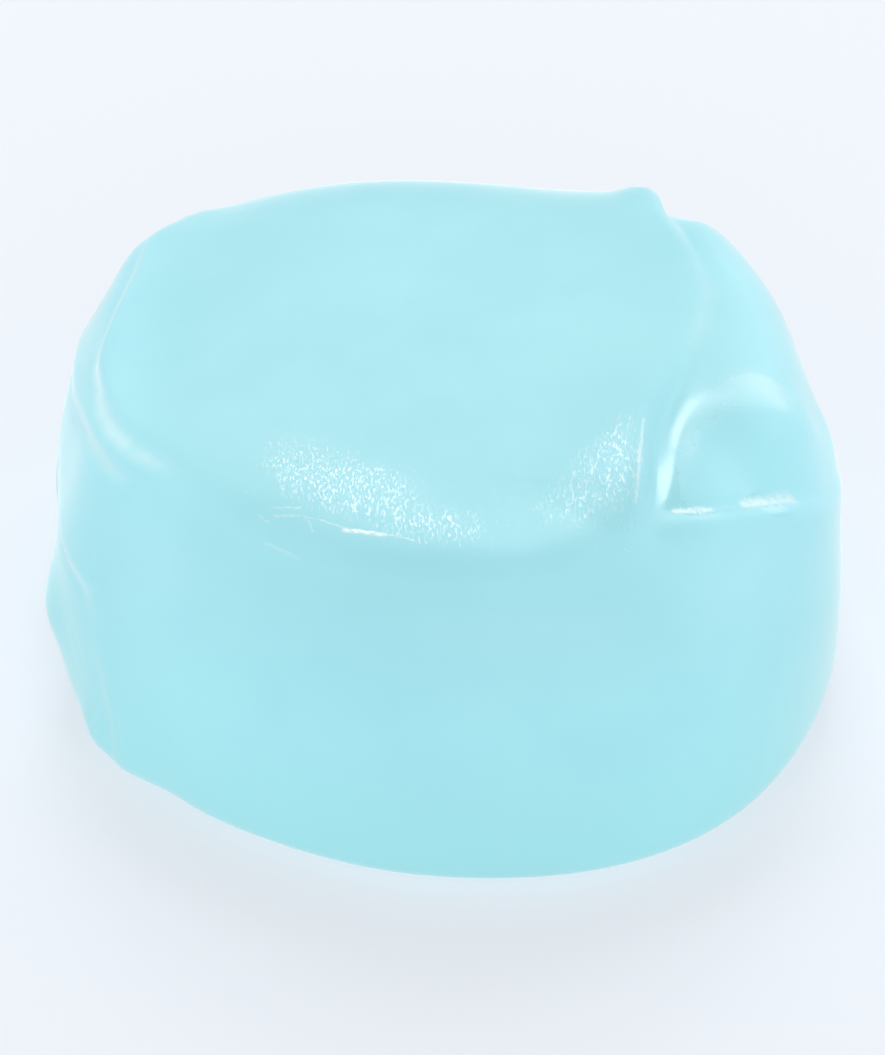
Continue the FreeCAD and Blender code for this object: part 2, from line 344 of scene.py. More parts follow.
# %% Fold paths
FOLDS = {  # name: (crease depth, crease width, step, edge, fade) in mm, and (x, y, z, strength)
    "crease": ((0.8, 1.3, 1.2, 0.25, 8.0), [
        (20.2, 34, 22, 0.0), (20.4, 32, 28, 0.7), (21, 28, 32.6, 0.75), (23.2, 22, 34.5, 0.35),
        (25, 16, 35, 0.3), (25, 10, 35.5, 0.22), (23.8, 3.5, 36, 0.3), (21.8, -3, 36.2, 0.6),
        (20.1, -8, 36.4, 0.9), (19.1, -13, 36.2, 1.0), (18.6, -17.5, 35.7, 1.0),
        (17.9, -21.5, 35, 0.5), (16.2, -24.5, 34.3, 0.0),
    ]),
    "lobe_rim": ((-0.25, 2.2, 0.0, 0.5, 3.0), [
        (22.4, -21, 34, 0.0), (21.6, -18.5, 35.2, 0.5), (22, -15, 35.5, 0.6),
        (23, -11, 35.6, 0.6), (25, -7.8, 35.4, 0.7), (27.6, -5, 35, 0.9),
        (30.4, -3.4, 33.8, 1.0), (32.8, -4.4, 32.2, 0.7), (33.4, -8, 31, 0.3), (32, -12.5, 30.4, 0.0),
    ]),
    "shoulder": ((0.22, 1.6, 0.35, 0.9, 7.0), [
        (18.5, -21.5, 35, 0.0), (15.2, -25, 34.3, 0.5), (11.3, -27.6, 33.6, 1.0),
        (4.5, -29.2, 33.5, 1.0), (-4, -29.1, 33.9, 1.0), (-11, -27.7, 33.9, 1.1),
        (-16.3, -24.9, 34.2, 1.0), (-20.5, -21.2, 34.5, 0.6), (-25, -15.8, 34.6, 0.0),
    ]),
    "left_edge": ((0.5, 1.0, 0.95, 0.45, 3.0), [
        (-22, -18.5, 34.7, 0.0), (-25, -15.6, 34.5, 0.1), (-28, -11.6, 34, 0.35),
        (-30.8, -7.1, 32.8, 0.7), (-32.6, -2, 31.4, 0.9), (-33.6, 2.4, 30.6, 0.9),
        (-34, 6.4, 30, 0.8), (-32.8, 11, 31.4, 0.7), (-31, 16, 32, 0.6),
        (-29.5, 22, 31.5, 0.6), (-27, 28, 29.5, 0.6), (-21, 33, 28, 0.0),
    ]),
    "rear_edge": ((0.4, 1.3, 0.7, 0.6, 7.0), [
        (-27, 28, 29.5, 0.0), (-20, 34, 27.5, 0.8), (-11, 36.5, 26.3, 1.0), (-1, 38.5, 26.8, 1.0),
        (9, 37.8, 27.6, 0.9), (16, 36, 27, 0.8), (22, 33.5, 26, 0.0),
    ]),
    "right_front": ((0.35, 1.0, 0.8, 0.4, 3.0), [
        (18.5, -21.3, 34.6, 0.0), (20.4, -21.1, 34.4, 0.8), (22.3, -20.5, 34, 1.0),
        (25.2, -19, 33.2, 1.0), (28.8, -16.7, 31.7, 1.0), (32.3, -13.3, 29.3, 0.8),
        (35.4, -8, 25.5, 0.6), (37.4, -1, 22, 0.5), (38, 8, 20, 0.5), (36.5, 17, 19.5, 0.6),
        (33, 25, 20, 0.7), (27, 31.5, 22, 0.7), (21, 35, 24.5, 0.0),
    ]),
    "outer_left": ((0.4, 0.9, 0.8, 0.4, 2.4), [
        (-27.5, -17, 32.6, 0.0), (-30, -13.3, 31.9, 0.6), (-31.8, -9.9, 31.2, 1.0),
        (-33.5, -5.6, 30, 1.0), (-35.2, 0.3, 27.7, 0.8), (-36.4, 6, 25.3, 0.6),
        (-36.8, 13, 23.5, 0.5), (-35.5, 22, 22.5, 0.6), (-31, 29, 23.5, 0.6), (-25, 33, 26, 0.0),
    ]),
    "tuck_edge": ((0.3, 0.9, 0.45, 0.5, 3.5), [
        (-30.5, -19, 26, 0.0), (-32.5, -18.5, 22.5, 0.6), (-33.6, -16.5, 21, 1.0),
        (-35, -13.5, 20.5, 1.0), (-36.4, -9, 19.8, 0.8), (-37.2, -2, 19, 0.6),
        (-37.6, 6, 18.6, 0.6), (-37.4, 13, 19, 0.5), (-36.6, 18, 21.5, 0.4), (-35, 20, 25, 0.0),
    ]),
    "flap_edge": ((0.25, 1.0, 0.9, 0.6, 5.0), [
        (-38, 4, 19.5, 0.0), (-38.2, 8, 14, 0.6), (-38, 8.5, 8, 0.7), (-37.4, 6, 2.8, 0.6),
        (-36.5, -4, 1.6, 0.7), (-34.5, -14, 1.6, 0.8), (-32, -21, 3, 0.8),
        (-32.2, -21.6, 8, 0.6), (-33, -20, 14, 0.4), (-33.8, -17.5, 18.5, 0.0),
    ]),
}
PATH_POINTS_PER_MM = 4
print(f"folds to press: {len(FOLDS)}")


def fold_path(name, stations):
    """A smooth curve over the skin through the stations; its radius is the fold's strength."""
    data = bpy.data.curves.new(name, "CURVE")
    data.dimensions = "3D"
    spline = data.splines.new("NURBS")
    spline.points.add(len(stations) - 1)
    places = push_to_skin(np.array([s[:3] for s in stations]) * MM)
    for point, place, station in zip(spline.points, places, stations):
        point.co = (*place, 1)
        point.radius = station[3]
    spline.order_u = 3
    spline.use_endpoint_u = True
    spline.resolution_u = 12
    path = bpy.data.objects.new(name, data)
    scene.collection.objects.link(path)
    return path


# %% The fold tree
MATH, VECTORS = "ShaderNodeMath", "ShaderNodeVectorMath"
FOLD_SIZES = ["Crease Depth", "Crease Width", "Step", "Edge", "Fade"]


def fold_tree():
    """Geometry Nodes that press one fold into the skin along a path."""
    tree = bpy.data.node_groups.new("press_fold_along_path", "GeometryNodeTree")
    make = tree.interface.new_socket
    make("Geometry", in_out="INPUT", socket_type="NodeSocketGeometry")
    make("Geometry", in_out="OUTPUT", socket_type="NodeSocketGeometry")
    make("Path", in_out="INPUT", socket_type="NodeSocketObject")
    make("Finish", in_out="INPUT", socket_type="NodeSocketMaterial")
    for name in FOLD_SIZES:
        make(name, in_out="INPUT", socket_type="NodeSocketFloat")
    given = add_node(tree, "NodeGroupInput").outputs

    path = add_node(tree, "GeometryNodeObjectInfo", {"Object": given["Path"]}).outputs["Geometry"]
    line = add_node(
        tree, "GeometryNodeCurveToPoints",
        {"Curve": path, "Length": MM / PATH_POINTS_PER_MM}, mode="LENGTH",
    ).outputs
    here = add_node(tree, "GeometryNodeInputPosition").outputs[0]
    outwards = add_node(tree, "GeometryNodeInputNormal").outputs["Normal"]
    nearest = add_node(
        tree, "GeometryNodeSampleNearest", {"Geometry": line["Points"], "Sample Position": here}
    ).outputs[0]

    radius = add_node(tree, "GeometryNodeInputRadius").outputs[0]
    strength, place_there, along = (
        add_node(
            tree, "GeometryNodeSampleIndex", {0: line["Points"], 1: value, 2: nearest}, data_type=kind
        ).outputs[0]
        for value, kind in (
            (radius, "FLOAT"), (here, "FLOAT_VECTOR"), (line["Tangent"], "FLOAT_VECTOR"),
        )
    )
    away = add_node(tree, VECTORS, {0: here, 1: place_there}, operation="SUBTRACT")
    distance = add_node(tree, VECTORS, {0: away}, operation="LENGTH").outputs["Value"]
    rightwards = add_node(tree, VECTORS, {0: along, 1: outwards}, operation="CROSS_PRODUCT")
    rightwards = add_node(tree, VECTORS, {0: rightwards}, operation="NORMALIZE")
    across = add_node(tree, VECTORS, {0: away, 1: rightwards}, operation="DOT_PRODUCT")
    across = across.outputs["Value"]

    def bell(width):
        """1 on the path, falling smoothly to almost 0 at twice this width from it."""
        share = add_node(tree, MATH, {0: distance, 1: width}, operation="DIVIDE")
        square = add_node(tree, MATH, {0: share, 1: share}, operation="MULTIPLY")
        fall = add_node(tree, MATH, {0: square, 1: -1.0}, operation="MULTIPLY")
        return add_node(tree, MATH, {0: fall}, operation="EXPONENT")

    crease = add_node(
        tree, MATH, {0: bell(given["Crease Width"]), 1: given["Crease Depth"]}, operation="MULTIPLY"
    )
    # The step climbs from 0 to 1 across the path, as steeply as the edge is narrow.
    climb = add_node(tree, MATH, {0: across, 1: given["Edge"]}, operation="DIVIDE")
    climb = add_node(tree, MATH, {0: climb, 1: -1.0}, operation="MULTIPLY")
    climb = add_node(tree, MATH, {0: climb}, operation="EXPONENT")
    climb = add_node(tree, MATH, {0: climb, 1: 1.0}, operation="ADD")
    climb = add_node(tree, MATH, {0: 1.0, 1: climb}, operation="DIVIDE")
    step = add_node(tree, MATH, {0: climb, 1: bell(given["Fade"])}, operation="MULTIPLY")
    step = add_node(tree, MATH, {0: step, 1: given["Step"]}, operation="MULTIPLY")
    move = add_node(tree, MATH, {0: step, 1: crease}, operation="SUBTRACT")
    move = add_node(tree, MATH, {0: move, 1: strength}, operation="MULTIPLY")
    offset = add_node(tree, VECTORS, {0: outwards, "Scale": move}, operation="SCALE")
    moved = add_node(
        tree, "GeometryNodeSetPosition", {"Geometry": given["Geometry"], "Offset": offset}
    ).outputs[0]
    whole = add_node(tree, "GeometryNodeRealizeInstances", {"Geometry": moved}).outputs[0]
    finished = add_node(
        tree, "GeometryNodeSetMaterial", {"Geometry": whole, "Material": given["Finish"]}
    ).outputs[0]
    add_node(tree, "NodeGroupOutput", {"Geometry": finished})
    return tree


press_fold = fold_tree()
print(f"fold tree: {len(press_fold.nodes)} nodes")


# %% Press the folds
def as_plain_mesh(thing, name):
    """A new mesh of the object as its modifiers leave it."""
    shown = thing.evaluated_get(bpy.context.evaluated_depsgraph_get())
    mesh = bpy.data.meshes.new_from_object(shown)
    mesh.name = name
    return mesh


clay = bpy.data.materials.new("polybutene_detailing_clay")
lump = bpy.data.objects.new("lump", skin)
scene.collection.objects.link(lump)
sockets = {
    item.name: item.identifier for item in press_fold.interface.items_tree if item.in_out == "INPUT"
}
paths = {}
for name, (sizes, stations) in FOLDS.items():
    paths[name] = fold_path(name, stations)
    fold = lump.modifiers.new(name, "NODES")
    fold.node_group = press_fold
    fold[sockets["Path"]] = paths[name]
    fold[sockets["Finish"]] = clay
    for label, size in zip(FOLD_SIZES, sizes):
        fold[sockets[label]] = size * MM
folded_skin = as_plain_mesh(lump, "folded_skin")
lump.modifiers.clear()
lump.data = folded_skin
print(f"folds pressed: {len(FOLDS)}, crown at {read_points(folded_skin)[:, 2].max() / MM:.1f} mm")


# %% [markdown]
# ## Parting the lump into its laps
#
# Each lap is the clay on one side of a fold, so the folded lump is parted along the same paths. A
# knife here is a closed wedge: the outline of the lap drawn out from the middle of the lump and
# cut off under the skin. Where the wedge and the lump share space is the lap, and what is left is
# the rest. Neighbours share the cut exactly, so they meet face to face with no gap.

# %% The knife
LAPS = {  # name: (thickness in mm, outline as stretches of fold stations and places of its own)
    "top_lap": (6.5, [("crease", 1, -1), ("shoulder", 1, -1), ("left_edge", 1, -1), ("rear_edge", 1, -1)]),
    "right_lap": (7.0, [
        ("right_front", 1, -1), [(20, 33, 30), (14, 24, 36), (13, 0, 37), (13, -18, 36)],
    ]),
    "left_lap": (4.0, [
        ("outer_left", 1, -1), [(-25, 27, 33), (-24, 5, 36), (-22, -10, 36), (-25, -15.2, 34.5)],
    ]),
    "left_tuck": (3.5, [
        ("tuck_edge", 1, -1), [(-33, 14, 27), (-34, 4, 28.5), (-31, -9, 32), (-29, -14, 32.5)],
    ]),
    "side_flap": (3.5, [
        ("flap_edge", 1, -1), [(-36, -10, 22), (-37, 0, 22)],
    ]),
}
OUTER_SCALE = 2.2


def lap_outline(stretches):
    """The places of a lap's closed outline, smooth between its stations."""
    places = []
    for stretch in stretches:
        if isinstance(stretch, tuple):
            name, first, last = stretch
            places += [station[:3] for station in FOLDS[name][1][first:last]]
        else:
            places += stretch
    data = bpy.data.curves.new("outline", "CURVE")
    data.dimensions = "3D"
    spline = data.splines.new("NURBS")
    spline.points.add(len(places) - 1)
    for point, place in zip(spline.points, push_to_skin(np.array(places) * MM)):
        point.co = (*place, 1)
    spline.order_u = 3
    spline.use_cyclic_u = True
    spline.resolution_u = 8
    outline = bpy.data.objects.new("outline", data)
    mesh = bpy.data.meshes.new_from_object(outline)
    points = read_points(mesh)
    bpy.data.objects.remove(outline)
    return points


def knife(name, outline, thickness):
    """A closed wedge from inside the skin to well outside it, through the outline."""
    arms = outline - MIDDLE
    lengths = np.linalg.norm(arms, axis=1)[:, None]
    inner = MIDDLE + arms * (1 - thickness * MM / lengths)
    outer = MIDDLE + arms * OUTER_SCALE
    count = len(outline)
    points = np.vstack([inner, outer, inner.mean(axis=0), outer.mean(axis=0)])
    inner_hub, outer_hub = 2 * count, 2 * count + 1
    faces = []
    for i in range(count):
        j = (i + 1) % count
        faces += [(i, j, count + j, count + i), (j, i, inner_hub), (count + i, count + j, outer_hub)]
    mesh = bpy.data.meshes.new(f"{name}_knife")
    mesh.from_pydata(points.tolist(), [], faces)
    shape = bmesh.new()
    shape.from_mesh(mesh)
    bmesh.ops.recalc_face_normals(shape, faces=shape.faces)
    shape.to_mesh(mesh)
    shape.free()
    blade = bpy.data.objects.new(f"{name}_knife", mesh)
    scene.collection.objects.link(blade)
    return blade


def part_with(thing, blade, operation, name):
    """A new mesh: what the thing and the blade share, or the thing without the blade."""
    cut = thing.modifiers.new("cut", "BOOLEAN")
    cut.operation = operation
    cut.solver = "MANIFOLD"
    cut.object = blade
    mesh = as_plain_mesh(thing, name)
    thing.modifiers.remove(cut)
    return mesh


# %% Part the laps
SEAM_ANGLE = math.radians(60)
pieces = {}
for name, (thickness, stretches) in LAPS.items():
    blade = knife(name, lap_outline(stretches), thickness)
    lap = bpy.data.objects.new(name + "_skin", part_with(lump, blade, "INTERSECT", name))
    scene.collection.objects.link(lap)
    pieces[name] = lap
    lump.data = part_with(lump, blade, "DIFFERENCE", "clay_core")
    bpy.data.objects.remove(blade)
lump.name = "clay_core_skin"
pieces["clay_core"] = lump
for path in paths.values():
    bpy.data.objects.remove(path)
for name, piece in pieces.items():
    piece.data.shade_smooth()
    piece.data.set_sharp_from_angle(angle=SEAM_ANGLE)
    low, high = (np.array(piece.bound_box).min(axis=0), np.array(piece.bound_box).max(axis=0))
    print(name, len(piece.data.polygons), "faces", np.round(low / MM, 1), np.round(high / MM, 1))


# %% [markdown]
# ## Where fingers have pressed the clay
#
# Clay that a fingertip has pressed hard is smooth and wet-looking and carries fine wrinkles; the
# rest is satin. Each pressed place is a soft spot, and the nearest spots add up. The sum is kept
# with each piece's points, so the finish can read it wherever the piece goes.

# %% Pressed places
WRINKLED = [  # place in mm, how far it spreads, how strongly it was pressed
    ((-13.5, -15, 35.7), (4.2, 4.4, 5), 0.8),
    ((-8, -19, 35.5), (5.6, 3.8, 5), 1.0),
    ((-0.5, -23.9, 34.9), (5.5, 2.6, 4), 0.8),
    ((16.3, -15.5, 35.8), (1.6, 6.5, 4), 1.0),
    ((13.6, -17.5, 35.8), (3.4, 5.5, 4), 0.7),
    ((10, -21.5, 35.4), (3.4, 3, 4), 0.5),
    ((22.4, -20.2, 34.3), (1.8, 0.7, 3), 0.9),
]
SMOOTHED = [  # the right lap's rim and front edge, wet-looking but without wrinkles
    ((20.3, -17.6, 35), (1.4, 3.2, 4), 1.3),
    ((21.9, -11.5, 35.5), (1.6, 3, 4), 1.2),
    ((23.8, -7.6, 35.4), (2, 2.2, 4), 1.2),
    ((26.6, -4.6, 34.9), (2.4, 2, 4), 1.3),
    ((29.4, -2.6, 33.8), (2.6, 2.4, 4), 1.5),
    ((31, -2.4, 32.6), (1.6, 2.2, 3), 0.8),
    ((22.5, -20.3, 34.2), (2.6, 1.0, 3), 1.2),
    ((29.5, -16, 31.5), (3.4, 1.4, 3), 1.2),
]
COMBED = [  # places where a fingerprint has been dragged
    ((24, -9, 35.3), (1.2, 1.8, 4), 1.0),
    ((26.2, -6.4, 35), (1.6, 1.2, 4), 1.0),
    ((29, -4.8, 34.2), (1.8, 1.0, 4), 1.0),
    ((22, -18, 35), (1.0, 2.0, 4), 1.0),
    ((28, -17.2, 32.2), (1.6, 0.8, 3), 0.8),
]
CRESTS = [  # rims of the folds, where a highlight is painted: (x, y, z, its strength), in mm
    [(-32.8, 14.2, 31, 0.0), (-33.8, 11.4, 30.1, 0.4), (-34.1, 5.9, 29.9, 0.9), (-33.6, 2.2, 30.4, 1.0),
     (-32.8, -1.7, 31, 1.0), (-31, -7.1, 32.2, 1.0), (-28.2, -11.6, 33.3, 0.8), (-24.5, -15.3, 34.1, 0.0)],
    [(-35.3, 1.2, 27.6, 0.0), (-33.9, -4.4, 29.4, 0.7), (-32.1, -9.3, 30.7, 0.8), (-29, -14, 31.6, 0.0)],
    [(-36, -11.3, 20.4, 0.0), (-34.9, -14.3, 21.1, 0.7), (-33.8, -16.8, 20.5, 0.7), (-33, -18.5, 19, 0.0)],
    [(-36.2, -12.7, 16.5, 0.0), (-35.1, -15.7, 14.1, 0.6), (-33.6, -18.8, 9.2, 0.7), (-33, -19.6, 5.3, 0.6)],
    [(-37.5, -9, 18, 0.0), (-36.9, -13, 14.5, 0.6), (-35.6, -16.5, 10, 0.6), (-34.5, -18.8, 6, 0.4)],
    [(24.5, 18, 34.8, 0.0), (25.6, 12, 35, 0.35), (24.6, 6, 35.6, 0.35), (22.6, 0, 36, 0.0)],
]
CREST_WIDTH = 0.75 * MM
CREST_STEPS = 12  # places per station
AROUND = 1.9  # how much further the loose specks reach than the pressed place itself


def spots(points, places, reach=1.0):
    """How strongly each point is within the places, from 0 to 1."""
    total = np.zeros(len(points))
    for place, spread, strength in places:
        away = (points - np.array(place) * MM) / (np.array(spread) * MM * reach)
        total += strength * np.exp(-(away**2).sum(axis=1))
    return np.minimum(total, 1)


def near_crests(points):
    """How strong the painted rim highlight is at each point, 0 to 1, seen from the lump's middle."""
    directions = points - MIDDLE
    directions /= np.linalg.norm(directions, axis=1)[:, None]
    total = np.zeros(len(points))
    for stations in CRESTS:
        steps = np.linspace(0, len(stations) - 1, CREST_STEPS * len(stations))
        columns = [np.interp(steps, range(len(stations)), column) for column in zip(*stations)]
        # thin is how strongly the highlight is painted at this station.
        for x, y, z, thin in zip(*columns):
            arm = np.array([x, y, z]) * MM - MIDDLE
            length = np.linalg.norm(arm)
            away = np.linalg.norm(directions - arm / length, axis=1) * length
            total = np.maximum(total, thin * np.exp(-((away / CREST_WIDTH) ** 2)))
    return total


def keep_with_points(mesh, name, values):
    """Keeps a value for each point of a mesh, which a finish can read by name."""
    mesh.attributes.new(name, "FLOAT", "POINT").data.foreach_set("value", values.astype(np.float32))


for name, piece in pieces.items():
    points = read_points(piece.data)
    keep_with_points(piece.data, "wrinkled", spots(points, WRINKLED))
    keep_with_points(piece.data, "smoothed", spots(points, SMOOTHED))
    keep_with_points(piece.data, "combed", spots(points, COMBED))
    keep_with_points(piece.data, "specks", spots(points, WRINKLED, AROUND))
    keep_with_points(piece.data, "crest", near_crests(points))
print(f"pressed places: {len(WRINKLED) + len(SMOOTHED) + len(COMBED)}, thin rims: {len(CRESTS)}")


# %% [markdown]
# ## The clay itself
#
# Detailing clay is polybutene loaded with a very fine abrasive powder. It is coloured through and
# slightly translucent, so no crease is dark, and its skin is satin with a greasy shine where it
# was pressed. Real clay could be scanned; noise in millimetres gives the same skin at any
# distance. All heights are true heights in metres.
#
# Most of the finish is cloudy noise at some size or other, so the clouds are made first, from one
# list. Two of them are stretched from front to rear, because wrinkles run that way.

# %% Clouds of noise
clay.use_nodes = True
tree = clay.node_tree
tree.nodes.clear()
RANGE, NOISE = "ShaderNodeMapRange", "ShaderNodeTexNoise"
CLOUDS = {  # name: (size in mm along each axis, detail, roughness)
    "breaks": ((0.35, 0.8, 0.8), 3, 0.7),
    "wrinkles": ((0.22, 0.6, 0.6), 2, 0.6),
    "satin": ((0.5, 0.5, 0.5), 3, 0.6),
    "kneading": ((9, 9, 9), 2, 0.5),
    "specks": ((1.4, 1.4, 1.4), 1, 0.5),
    "print gaps": ((0.9, 0.9, 0.9), 2, 0.5),
    "line gaps": ((0.5, 0.5, 0.5), 2, 0.5),
    "rim gaps": ((2.5, 2.5, 2.5), 2, 0.5),
    "colour": ((14, 14, 14), 3, 0.55),
}
object_place = add_node(tree, "ShaderNodeTexCoord").outputs["Object"]
up_high = add_node(tree, "ShaderNodeSeparateXYZ", {0: object_place}).outputs["Z"]


def per_mm(*sizes):
    """Object position divided by a size in mm along each axis."""
    scale = [1 / (size * MM) for size in sizes]
    return add_node(tree, VECTORS, {0: object_place, 1: scale}, operation="MULTIPLY")


clouds = {
    name: add_node(
        tree, NOISE,
        {"Vector": per_mm(*sizes), "Scale": 1.0, "Detail": detail, "Roughness": roughness},
    )
    for name, (sizes, detail, roughness) in CLOUDS.items()
}
kept = {
    name: add_node(tree, "ShaderNodeAttribute", attribute_name=name).outputs["Fac"]
    for name in ("wrinkled", "smoothed", "combed", "specks", "crest")
}
print(f"clay: {len(clouds)} clouds, {len(kept)} sums kept with its points")


# %% [markdown]
# ### Pressed skin
#
# A pressed place has no sharp margin: it breaks up into single wrinkles as it fades, so noise is
# added to the kept sum before it is cut off. A Map Range node does the cutting off, smoothly, from
# one value to another.

# %% Pressed skin
BREAK_SHARE = 1.3  # how far the noise shifts the margin of a pressed place
centred = add_node(tree, MATH, {0: clouds["breaks"], 1: 0.5}, operation="SUBTRACT")
broken = add_node(tree, MATH, {0: centred, 1: BREAK_SHARE}, operation="MULTIPLY")
pressed = add_node(tree, MATH, {0: kept["wrinkled"], 1: broken}, operation="ADD")
worked = add_node(tree, RANGE, {0: pressed, 1: 0.22, 2: 0.8}, interpolation_type="SMOOTHSTEP")
rim = add_node(
    tree, MATH, {0: broken, 1: 0.5, 2: kept["smoothed"]}, operation="MULTIPLY_ADD"
)
polished_rim = add_node(
    tree, RANGE, {0: rim, 1: 0.1, 2: 1.1, 3: 0.0, 4: 0.8}, interpolation_type="SMOOTHSTEP"
)
wrinkles = add_node(
    tree, RANGE, {0: clouds["wrinkles"], 1: 0.35, 2: 0.7}, interpolation_type="SMOOTHSTEP"
)
print(f"pressed skin: {len(tree.nodes)} nodes so far")


# %% [markdown]
# ### Specks and prints
#
# Round the pressed places lie lone specks, small bumps that each carry a painted glint, and on the
# right lap a fingertip has dragged its ridges. The specks are the middles of Voronoi cells, of which
# noise chooses a few. The print is a wave with the spacing of skin ridges, bent and broken by noise.

# %% Specks and prints
PRINT_TURN = math.radians(-40)
cells = add_node(tree, "ShaderNodeTexVoronoi", {"Vector": per_mm(0.9, 0.9, 0.9), "Scale": 1.0})
middles = add_node(
    tree, RANGE, {0: cells.outputs["Distance"], 1: 0.16, 2: 0.0}, interpolation_type="SMOOTHSTEP"
)
chosen = add_node(
    tree, RANGE, {0: clouds["specks"], 1: 0.55, 2: 0.62}, interpolation_type="SMOOTHSTEP"
)
# The dots stand up as bumps, and each is also painted pale as a glint in the colour further on.
dots = add_node(tree, MATH, {0: middles, 1: chosen}, operation="MULTIPLY")
turned = add_node(
    tree, "ShaderNodeMapping", {"Vector": per_mm(1, 1, 1), "Rotation": (0, 0, PRINT_TURN)}
)
ridges = add_node(
    tree, "ShaderNodeTexWave",
    {"Vector": turned, "Scale": 0.95, "Distortion": 7.0, "Detail": 2, "Detail Scale": 0.5},
    bands_direction="X",
).outputs["Fac"]
gaps = add_node(
    tree, RANGE, {0: clouds["print gaps"], 1: 0.42, 2: 0.66}, interpolation_type="SMOOTHSTEP"
)
prints = add_node(tree, MATH, {0: ridges, 1: gaps}, operation="MULTIPLY")
print(f"specks and prints: {len(tree.nodes)} nodes so far")


# %% [markdown]
# ### Lines drawn in the clay
#
# Nails and the edge of a palm have left a few thin lines near the shoulder and along the edges of
# the crease. They could be cut into the mesh, which would need far more points. Instead each is a
# straight stretch in the plan, made to wander by noise, and its height falls off with the
# distance from that stretch. The plan repeats down the walls, so the lines are kept to the top.
# Each line is also painted paler than the clay round it, as a painted highlight.

# %% Drawn lines
DRAWN_LINES = [  # start and end in the plan, half its width, its height, in mm
    ((-15.8, -20.9), (-13.6, -21.2), 0.20, 0.020),
    ((-15.8, -21.7), (-13.5, -22.0), 0.20, 0.020),
    ((-13.1, -21.9), (-12.2, -23.8), 0.16, 0.016),
    ((-12.9, -22.2), (-9.7, -23.6), 0.16, 0.016),
    ((-9.5, -23.9), (-5.7, -24.7), 0.38, 0.040),
    ((-5.7, -24.6), (-3.1, -25.4), 0.18, 0.018),
    ((-17.3, -21.2), (-16.3, -22.3), 0.16, 0.014),
    ((-16.5, -23.8), (-13.6, -25.6), 0.22, 0.010),
    ((18.1, -10.5), (17.6, -15.5), 0.26, 0.022),
    ((17.6, -15.5), (17.1, -20.8), 0.26, 0.022),
    ((20.6, -20.8), (24, -19.4), 0.45, 0.03),
    ((27.3, -17.2), (32, -13.6), 0.85, 0.024),
]
LINE_WANDER = 0.5 * MM
TALLEST_LINE = 0.04 * MM
shake = add_node(tree, NOISE, {"Vector": per_mm(0.8, 0.8, 0.8), "Scale": 1.0}).outputs["Color"]
shake = add_node(tree, VECTORS, {0: shake, 1: (0.5, 0.5, 0.5)}, operation="SUBTRACT")
shake = add_node(tree, VECTORS, {0: shake, 1: [LINE_WANDER] * 3}, operation="MULTIPLY")
wander = add_node(tree, VECTORS, {0: object_place, 1: shake}, operation="ADD")
plan = add_node(tree, VECTORS, {0: wander, 1: (1, 1, 0)}, operation="MULTIPLY")


def drawn_line(start, end, half_width, tall):
    """Height of a scratch or ridge drawn from one place in the plan to another, in mm."""
    first = (*(Vector(start) * MM), 0)
    along = (Vector(end) - Vector(start)) * MM
    whole = (*along, 0)
    away = add_node(tree, VECTORS, {0: plan, 1: first}, operation="SUBTRACT")
    reach = add_node(tree, VECTORS, {0: away, 1: whole}, operation="DOT_PRODUCT").outputs["Value"]
    share = add_node(
        tree, MATH, {0: reach, 1: along.length_squared}, operation="DIVIDE", use_clamp=True
    )
    reached = add_node(tree, VECTORS, {0: whole, "Scale": share}, operation="SCALE")
    left = add_node(tree, VECTORS, {0: away, 1: reached}, operation="SUBTRACT")
    far = add_node(tree, VECTORS, {0: left}, operation="LENGTH").outputs["Value"]
    limits = {0: far, 1: half_width * MM, 2: 0.0, 3: 0.0, 4: tall * MM}
    return add_node(tree, RANGE, limits, interpolation_type="SMOOTHSTEP")


lines = 0.0
for row in DRAWN_LINES:
    lines = add_node(tree, MATH, {0: drawn_line(*row), 1: lines}, operation="ADD")
crown = add_node(
    tree, RANGE, {0: up_high, 1: 24 * MM, 2: 28 * MM}, interpolation_type="SMOOTHSTEP"
)
faded = add_node(
    tree, RANGE, {0: clouds["line gaps"], 1: 0.35, 2: 0.55, 3: 0.5, 4: 1.0},
    interpolation_type="SMOOTHSTEP",
)
on_top = add_node(tree, MATH, {0: crown, 1: faded}, operation="MULTIPLY")
lines = add_node(tree, MATH, {0: lines, 1: on_top}, operation="MULTIPLY")
# This share also paints a highlight along the lines, in the colour further on.
lines_seen = add_node(tree, MATH, {0: lines, 1: TALLEST_LINE}, operation="DIVIDE")
print(f"lines: {len(DRAWN_LINES)}")


# %% [markdown]
# ### Height
#
# Every pattern is now a number from 0 to 1, and so is where it shows. One list says how high each
# of them stands, and their products add up to the height of the skin.

# %% Height
def layered(layers):
    """The sum of several layers: each is a pattern, where it shows, and how much it counts."""
    total = 0.0
    for pattern, where, amount in layers:
        shown = add_node(tree, MATH, {0: pattern, 1: where}, operation="MULTIPLY")
        total = add_node(tree, MATH, {0: shown, 1: amount, 2: total}, operation="MULTIPLY_ADD")
    return total


skin_height = layered([
    (wrinkles, worked, 0.028 * MM),
    (clouds["satin"], 1.0, 0.006 * MM),
    (clouds["kneading"], 1.0, 0.08 * MM),
    (dots, kept["specks"], 0.04 * MM),
    (prints, kept["combed"], 0.024 * MM),
    (lines, 1.0, 1.0),
])
print(f"height: {len(tree.nodes)} nodes so far")
